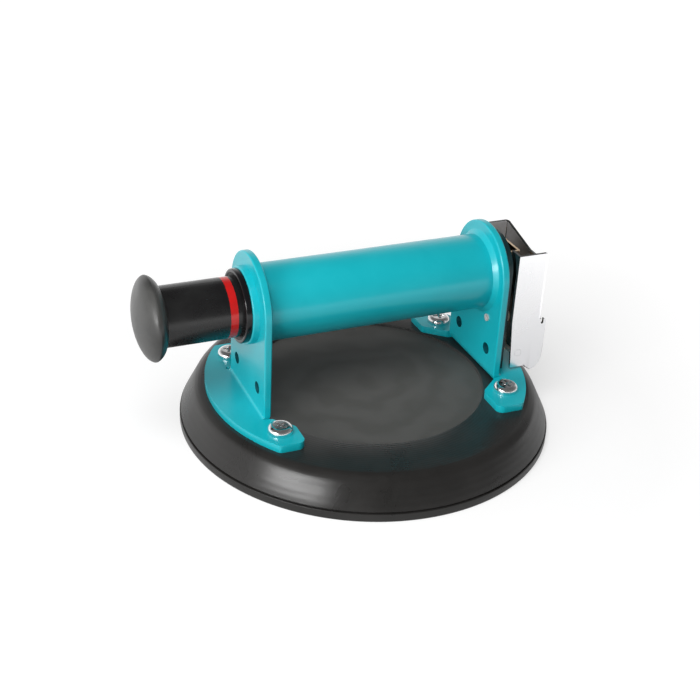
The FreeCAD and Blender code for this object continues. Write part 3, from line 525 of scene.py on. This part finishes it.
def break_edges(bm, width, segments, wanted=lambda edge: True):
    """Bevels the sharp edges that the test accepts, and counts them. width is in millimetres."""
    edges = [e for e in bm.edges if len(e.link_faces) == 2
             and e.calc_face_angle() > math.radians(SHARP_ANGLE) and wanted(e)]
    bmesh.ops.bevel(bm, geom=edges, offset=width * MM, segments=segments, profile=0.5,
                    affect="EDGES", clamp_overlap=True, material=-1)
    return len(edges)


# %% [markdown]
# ## The rubber pad
#
# The pad is one moulding: a thin lip that meets the tile, a fine groove where the mould parts, a
# conical bevel, a flat ring that carries the brackets' feet, and a shallow centre disc. It is
# turned from one outline. The underside is the vacuum space, inside a flat sealing face.

# %% Rubber pad
LIP_TOP = 4.7
GROOVE_TOP = 5.5
GROOVE_IN = 1.4
BEVEL_OUT = 0.5
BEVEL_RUN = 8.1
DISC_DEEP = 1.2
CAVITY_DEEP = 3.0
CAVITY_R = 85.0
SEAL_R = 89.0
groove_r, bevel_r = PAD_R - GROOVE_IN, PAD_R - BEVEL_OUT

bm = turned(UP, ORIGIN, [
    (CAVITY_DEEP, 0, 0), (CAVITY_DEEP, CAVITY_R, 1.0), (0, SEAL_R, 0.6), (0, PAD_R, 0.8),
    (LIP_TOP, PAD_R, 0.35), (LIP_TOP, groove_r, 0.1), (GROOVE_TOP, groove_r, 0.1),
    (GROOVE_TOP, bevel_r, 0.4), (PAD_TOP, bevel_r - BEVEL_RUN, 3.7),
    (PAD_TOP, DISC_R, 0.35), (PAD_TOP - DISC_DEEP, DISC_R, 0.3),
    (PAD_TOP - DISC_DEEP, 0, 0)], steps=PAD_STEPS)
to_piece(bm, "rubber_pad", "frame", "pad_rubber", "suction_pad")

# %% [markdown]
# ## Tube and gland
#
# The handle tube is painted with the brackets, so its mouth has a soft, paint-filled rim. The gland
# is a black moulding pressed into that mouth: a chamfered flange outside, a sleeve inside, and a
# recess where the wiper ring sits.

# %% Handle tube
TUBE_WALL = 2.5
tube_bore = TUBE_R - TUBE_WALL
bm = turned(ALONG, AXIS, [(TUBE_X0, TUBE_R, 0.7), (TUBE_X1, TUBE_R, 0.3),
                          (TUBE_X1, tube_bore, 0.2), (TUBE_X0, tube_bore, 0.5)])
to_piece(bm, "painted_tube", "frame", "teal_paint", "handle_tube")

# %% End gland
GLAND_BORE = 15.58
WIPER_SEAT_R = 17.2
WIPER_SEAT_DEEP = 1.6
SLEEVE_R = 17.45
flange_r = (gland_high.z - gland_low.z) / 2 / MM
flange_x0, sleeve_x1 = gland_low.x / MM, gland_high.x / MM
seat_x1 = flange_x0 + WIPER_SEAT_DEEP
bm = turned(ALONG, AXIS, [
    (flange_x0, flange_r, 0.8), (TUBE_X0, flange_r, 0.2), (TUBE_X0, SLEEVE_R, 0),
    (sleeve_x1, SLEEVE_R, 0.3), (sleeve_x1, GLAND_BORE, 0.2), (seat_x1, GLAND_BORE, 0),
    (seat_x1, WIPER_SEAT_R, 0.1), (flange_x0, WIPER_SEAT_R, 0.4)])
to_piece(bm, "gland_moulding", "frame", "matte_black", "end_gland")

# %% [markdown]
# ## Painted brackets
#
# The brackets keep the construction's own shape. Powder coat fills and rounds every edge of the
# 4 mm sheet, and the weld's toe most of all, where it runs out on the upright. The walls of the two
# small gauge holes get a darker teal: painted shade, for the shadow that falls inside the holes.

# %% Painted brackets
WELD_TOE_R = 22.4
WELD_TOE_SLACK = 0.25
WELD_TOE_ROUND, WELD_TOE_STEPS = 1.5, 5
HOLE_EDGE_R = 20.3
PAINTED_EDGE, PAINTED_EDGE_STEPS = 0.45, 3
GAUGE_HOLE_R, GAUGE_HOLE_Y, GAUGE_HOLE_Z = 3.25, 16.0, 38.0
HOLE_WALL_SLACK, HOLE_WALL_TILT = 0.1, 0.5
# material index 1: the gauge holes' walls, painted darker as shade
HOLE_WALL = 1
BRACKET_CUTS = [(0, None), (-GAUGE_HOLE_Y, None), (GAUGE_HOLE_Y, None), (None, GAUGE_HOLE_Z),
                (None, AXIS_Z / MM)]


def axis_distance(edge):
    """How far the edge's nearer end is from the tube's axis, in millimetres."""
    return min(Vector((0, v.co.y, v.co.z - AXIS_Z)).length for v in edge.verts) / MM


def on_weld_toe(edge):
    """Where the weld round the tube runs out on the upright."""
    return abs(axis_distance(edge) - WELD_TOE_R) < WELD_TOE_SLACK


def on_sheet_edge(edge):
    """Outside the tube's hole, and not on the weld."""
    return axis_distance(edge) > HOLE_EDGE_R and not on_weld_toe(edge)


def in_gauge_hole(face):
    """On the wall of one of the two holes low in the upright."""
    middle = face.calc_center_median() / MM
    from_hole = math.hypot(abs(middle.y) - GAUGE_HOLE_Y, middle.z - GAUGE_HOLE_Z)
    return abs(face.normal.x) < HOLE_WALL_TILT and from_hole < GAUGE_HOLE_R + HOLE_WALL_SLACK


for node in ("plunger_end_bracket", "valve_end_bracket"):
    bm = welded_copy(node, BRACKET_CUTS)
    toes = break_edges(bm, WELD_TOE_ROUND, WELD_TOE_STEPS, on_weld_toe)
    count = break_edges(bm, PAINTED_EDGE, PAINTED_EDGE_STEPS, on_sheet_edge)
    # the gauge holes' walls get the darker teal of painted shade
    for face in bm.faces:
        if in_gauge_hole(face):
            face.material_index = HOLE_WALL
    plate = node.replace("bracket", "plate")
    to_piece(bm, plate, "frame", "teal_paint", node, more=("hole_wall_painted_shade",))
    print(node, "weld edges softened:", toes, "sheet edges broken:", count)

# %% [markdown]
# ## The chromed lever's toes
#
# The lever is stamped from bright sheet and bent into a channel. Each leg ends in a rounded toe
# that reaches down past the foot plate's rim. Four cuts add the corners that the toe needs, and
# its lower corners are then moved down along a smooth curve.

# %% Lever toes
CHEEK_Y = lever_high.y / MM
CHEEK_SHEET = 1.5
CHEEK_INNER_Y = CHEEK_Y - CHEEK_SHEET
HAIR = 0.05  # room for rounding wherever a place is compared
LEG_TOP_Z = 55.0
LEVER_LOW_Z = lever_low.z / MM
TOE_CUTS = (84.4, 85.4, 86.5, 87.6)
TOE_START_X, TOE_FULL_X = TOE_CUTS[0], 88.6
TOE_TOP_Z = 38.0
TOE_REACH = 3.4


def in_leg(place, top_z):
    """In one of the lever's two cheeks, below a height. place is in metres."""
    return place.z / MM < top_z and abs(place.y) / MM > CHEEK_INNER_Y - HAIR


def smooth_step(share):
    """0 below 0, 1 above 1, and a soft rise between."""
    share = min(max(share, 0), 1)
    return share * share * (3 - 2 * share)


def reach_down(bm):
    """Cuts the legs where the toe begins, and lowers their lower corners."""
    for cut_x in TOE_CUTS:
        legs = [f for f in bm.faces if in_leg(f.calc_center_median(), LEG_TOP_Z)]
        edges, verts = {e for f in legs for e in f.edges}, {v for f in legs for v in f.verts}
        bmesh.ops.bisect_plane(bm, geom=[*legs, *edges, *verts], plane_co=(cut_x * MM, 0, 0),
                               plane_no=ALONG, dist=SHEET_MERGE * MM)
    for vert in bm.verts:
        if in_leg(vert.co, TOE_TOP_Z):
            across = smooth_step((vert.co.x / MM - TOE_START_X) / (TOE_FULL_X - TOE_START_X))
            down = (TOE_TOP_Z - vert.co.z / MM) / (TOE_TOP_Z - LEVER_LOW_Z)
            vert.co.z -= TOE_REACH * down * across * MM


# %% [markdown]
# ## The lever's faces and edges
#
# Plating is bright on the faces. The sheared edges get a near-black finish of their own, which is
# painted shade: it stands in for the shaded floor that the edges reflect, and its dark line draws
# the lever's outline against a white room. The cheeks were brushed before plating: outside they are
# satin, and inside, where the bath reached less well, they are cloudy. The lips and the back are
# mirror bright.
#
# The edges near the pin are left as cut, because a bevel there breaks the cheek's large flat face.

# %% Lever faces and edges
LIP_X = lever_low.x / MM + CHEEK_SHEET
SIDEWAYS, UPWARDS = 0.93, 0.6
TOP_EDGE_Z = 60
LEG_EDGE_X, LEG_EDGE_Z = 91, 29
RIM_X, RIM_TOP_Z = 84, 51.5
PIN_MIDDLE = (pin_low + pin_high) / 2 / MM
PIN_CLEAR = 3.0
RIM_ROUND, RIM_STEPS = 0.55, 3
SHEET_EDGE, SHEET_EDGE_STEPS = 0.12, 2
# index 1 is the near-black edge finish, which is painted shade
EDGE_SHADE_PAINT, OUTER_CHEEK, INNER_CHEEK = 1, 2, 3


def near_pin(edge):
    """Close to the lever's pin, seen from the side."""
    middle = (edge.verts[0].co + edge.verts[1].co) / 2 / MM
    return math.hypot(middle.x - PIN_MIDDLE.x, middle.z - PIN_MIDDLE.z) < PIN_CLEAR


def share_out_lever(bm):
    """Finds the sheared edges, which are the channel's top and the legs' far end, and gives them
    the near-black painted edge shade; then the two sides of the cheeks. The lips and the back keep
    the first finish."""
    for face in bm.faces:
        middle, out = face.calc_center_median() / MM, face.normal
        on_cheek = abs(middle.y) > CHEEK_INNER_Y - HAIR
        on_lip = middle.x < LIP_X + HAIR
        faces_sideways = abs(out.y) > SIDEWAYS
        top_edge = abs(out.z) > UPWARDS and middle.z > TOP_EDGE_Z and not on_lip
        leg_edge = (on_cheek and not faces_sideways and middle.x > LEG_EDGE_X
                    and LEG_EDGE_Z < middle.z < LEG_TOP_Z + HAIR)
        if top_edge or leg_edge:
            face.material_index = EDGE_SHADE_PAINT
        elif on_cheek and faces_sideways and abs(middle.y) < CHEEK_Y - CHEEK_SHEET / 2:
            face.material_index = INNER_CHEEK
        elif on_cheek and not on_lip:
            face.material_index = OUTER_CHEEK


def leg_rim(edge):
    """The outer corner of the legs' rounded edge."""
    return all(abs(v.co.y) / MM > CHEEK_Y - HAIR and v.co.z / MM < RIM_TOP_Z
               and v.co.x / MM > RIM_X for v in edge.verts) and not near_pin(edge)


def lever_sheet_edge(edge):
    """Every other edge of the lever that may be broken."""
    return not leg_rim(edge) and not near_pin(edge)


bm = welded_copy("release_lever")
reach_down(bm)
rims = break_edges(bm, RIM_ROUND, RIM_STEPS, leg_rim)
count = break_edges(bm, SHEET_EDGE, SHEET_EDGE_STEPS, lever_sheet_edge)
share_out_lever(bm)
to_piece(bm, "release_lever_plated", "lever", "chrome_steel", "release_lever",
         more=("painted_edge_shade", "satin_chrome", "cloudy_plating"))
print("lever rims:", rims, "edges broken:", count)
print(f"lever pin at x {PIN_MIDDLE.x:.2f}, z {PIN_MIDDLE.z:.2f} mm")

# %% [markdown]
# ## Guide bracket and screws
#
# Both keep the construction's shape and only have their edges broken: the small bracket that guides
# the valve as sheet, and the foot screws as rolled heads, a little rounder.

# %% Guide bracket
bm = welded_copy("valve_guide_bracket")
count = break_edges(bm, SHEET_EDGE, SHEET_EDGE_STEPS)
to_piece(bm, "valve_guide_bracket_plated", "frame", "chrome_steel", "valve_guide_bracket",
         own_finish="bright_zinc")
print("guide bracket edges broken:", count)

# %% Screws
SCREW_EDGE, SCREW_EDGE_STEPS = 0.18, 2
bm = welded_copy("foot_screws")
count = break_edges(bm, SCREW_EDGE, SCREW_EDGE_STEPS)
to_piece(bm, "pan_head_screws", "frame", "screw_chrome", "foot_screws")
print("screw edges broken:", count)

# %% [markdown]
# ## Springs
#
# A spring is a wire's section spun about its axis while it moves along it.

# %% Springs
COIL_STEPS = 28
WIRE_SIDES = 10
SPRINGS = [  # node, joint, fixed end (0 low, 1 high), mean radius, wire radius, turns
    ("return_spring", "plunger_slide", 1, 7.4, 0.8, 9),
    ("release_valve_spring", "release_valve_slide", 1, 2.9, 0.4, 3),
    ("intake_valve_spring", "intake_valve_slide", 0, 3.2, 0.35, 3)]


def coil(mean_r, wire_r, x0, x1, turns):
    """A round wire wound about the tube's axis from x0 to x1, in millimetres."""
    bm = bmesh.new()
    ring = bmesh.ops.create_circle(bm, cap_ends=True, segments=WIRE_SIDES, radius=wire_r * MM)
    start = Vector((x0 + wire_r, 0, 0)) * MM + AXIS + Vector((0, 0, mean_r * MM))
    bmesh.ops.rotate(bm, verts=ring["verts"], cent=(0, 0, 0),
                     matrix=Matrix.Rotation(math.radians(90), 3, "X"))
    bmesh.ops.translate(bm, verts=ring["verts"], vec=start)
    step = (x1 - x0 - 2 * wire_r) * MM / (turns * COIL_STEPS)
    bmesh.ops.spin(bm, geom=bm.verts[:] + bm.edges[:] + bm.faces[:], cent=AXIS, axis=ALONG,
                   dvec=ALONG * step, angle=math.tau * turns, steps=turns * COIL_STEPS)
    bmesh.ops.recalc_face_normals(bm, faces=bm.faces)
    return bm


for node, joint, fixed_end, mean_r, wire_r, turns in SPRINGS:
    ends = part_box(node)
    x0, x1 = (end.x / MM for end in ends)
    piece = to_piece(coil(mean_r, wire_r, x0, x1, turns), node + "_coil", "frame", "spring_steel",
                     node)
    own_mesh(piece)

# %% [markdown]
# ## The studio
#
# A white table with a white sweep behind it, in a dim room. Black rubber and chrome are mostly what
# they reflect, so the room matters as much as the lamps: the white lies low and behind, and above
# it and in front the room falls off to grey, which gives the blacks their depth and the chrome its
# contrast.
#
# The camera should see plain white, but stronger lamps would bleach the object. So the white is in
# the surroundings' own colour. A Light Path node tells who is looking: the camera, a reflection and
# a clear pass-through see the finished white, and only the soft light that falls on the object sees
# the plain floor. A part of the floor's white still comes from the lamps, which keeps the object's
# shadow.

# %% Floor
FLOOR_SIZE = 3.0
SOFT_WHITE = 0.34
SEEN_WHITE, SEEN_GLOW = 0.45, (0.58, 0.92)
MIRRORED_WHITE, MIRRORED_GLOW = 0.72, (0.12, 0.90)
NEAR, FAR = 0.16, 0.45


def looks_at(tree):
    """Two masks: 1 where the camera or a clear pass-through looks, and 1 for a reflection."""
    path = add(tree, "ShaderNodeLightPath").outputs
    seen = calculate(tree, "MAXIMUM", path["Is Camera Ray"], path["Is Transmission Ray"])
    return seen, path["Is Glossy Ray"]


def floor_white():
    """The floor's finish: one white for the light, one for the camera, one for reflections."""
    made = new_material("studio_white")
    tree = made.node_tree
    seen, mirrored = looks_at(tree)
    away = distance_out(tree, object_place(tree))
    seen_glow = ramp(tree, away, NEAR, FAR, *SEEN_GLOW)
    mirrored_glow = ramp(tree, away, NEAR, FAR, *MIRRORED_GLOW)
    white = mix(tree, "FLOAT", mirrored, mix(tree, "FLOAT", seen, SOFT_WHITE, SEEN_WHITE),
                MIRRORED_WHITE)
    glow = mix(tree, "FLOAT", mirrored, mix(tree, "FLOAT", seen, 0.0, seen_glow), mirrored_glow)
    fill_shader(tree, Base_Color=white, Roughness=1.0, Specular_IOR_Level=0.0,
                Emission_Color=(1, 1, 1, 1), Emission_Strength=glow)
    return made


def make_floor():
    """A flat floor that stands outside the object."""
    bm = bmesh.new()
    bmesh.ops.create_grid(bm, x_segments=1, y_segments=1, size=FLOOR_SIZE)
    floor = new_mesh_object("studio_floor", bm)
    floor.data.materials.append(floor_white())
    return floor


floor = make_floor()
print("floor:", floor.name, "with", floor.data.materials[0].name)

# %% [markdown]
# ## The room
#
# The room is only a function of direction: white low down and grey above, and whiter behind and to
# the left than in front. Reflections and soft light see it so, and the camera sees plain white.

# %% World
ROOM_LEVEL = 0.13
SWEEP_LOW, SWEEP_TOP = 0.25, 0.70
SWEEP_FRONT = 0.12
LEFT_LEAN = -0.35
FRONT_END, BACK_END = -0.2, 0.5

world = bpy.data.worlds.new("studio_world")
bpy.context.scene.world = world
world.use_nodes = True
tree = world.node_tree
facing = add(tree, "ShaderNodeTexCoord").outputs["Generated"]
way = add(tree, "ShaderNodeSeparateXYZ", Vector=facing).outputs
low = ramp(tree, way["Z"], SWEEP_LOW, SWEEP_TOP, 1.0, 0.0)
back_left = calculate(tree, "MULTIPLY_ADD", way["X"], LEFT_LEAN, way["Y"])
behind = ramp(tree, back_left, FRONT_END, BACK_END, SWEEP_FRONT, 1.0)
room = ramp(tree, calculate(tree, "MULTIPLY", low, behind), 0.0, 1.0, ROOM_LEVEL, 1.0)
seen, _ = looks_at(tree)
sky = tree.nodes["Background"]
sky.inputs["Color"].default_value = (1, 1, 1, 1)
feed(tree, sky.inputs["Strength"], mix(tree, "FLOAT", seen, room, 1.0))
print("world:", world.name)

# %% [markdown]
# ## Lamps
#
# Two soft boxes. The large one hangs high in front and to the left, and reflections don't show it.
# The long low one stands on the left and lights the knob's side.

# %% Lamps
def soft_box(name, place, aim, width, height, watts):
    """A rectangular lamp at a place, turned to what it lights."""
    lamp = bpy.data.lights.new(name, "AREA")
    lamp.shape = "RECTANGLE"
    lamp.size = width
    lamp.size_y = height
    lamp.energy = watts
    holder = new_object(name, lamp)
    holder.location = place
    holder.rotation_mode = "QUATERNION"
    holder.rotation_quaternion = (Vector(aim) - Vector(place)).to_track_quat("-Z", "Y")
    return holder


top_box = soft_box("top_box", place=(-0.38, -0.42, 1.0), aim=(0, 0, 0.05),
                   width=0.7, height=0.7, watts=9.5)
top_box.visible_glossy = False
left_box = soft_box("left_box", place=(-1.05, -0.58, 0.35), aim=(0, 0, 0.02),
                    width=0.7, height=0.26, watts=9.5)
print("lamps:", top_box.name, left_box.name)

# %% [markdown]
# ## Camera
#
# A long lens from above the bench, turned so that the knob is near and the lever far. Three angles
# place it: how far round, how high, and how much it leans.

# %% Camera
CAMERA_TURN = -24.32
CAMERA_RISE = 29.34
CAMERA_ROLL = 3.06
CAMERA_DISTANCE = 0.900
CAMERA_AIM = Vector((0.0655, 0.1668, -0.0618))
CAMERA_LENS = 66.70


def make_camera():
    """The scene's camera, from its angles."""
    turn, rise = math.radians(CAMERA_TURN), math.radians(CAMERA_RISE)
    back = Vector((math.sin(turn) * math.cos(rise), -math.cos(turn) * math.cos(rise),
                   math.sin(rise)))
    camera = new_object("camera", bpy.data.cameras.new("camera"))
    camera.data.lens = CAMERA_LENS
    camera.location = CAMERA_AIM + back * CAMERA_DISTANCE
    camera.rotation_mode = "QUATERNION"
    level = (-back).to_track_quat("-Z", "Y").to_matrix()
    roll = Matrix.Rotation(math.radians(CAMERA_ROLL), 3, "Z")
    camera.rotation_quaternion = (level @ roll).to_quaternion()
    bpy.context.scene.camera = camera
    return camera


camera = make_camera()
print("camera right:", [round(x, 4) for x in camera.rotation_quaternion.to_matrix().col[0]])
bpy.context.scene.view_settings.view_transform = "Standard"
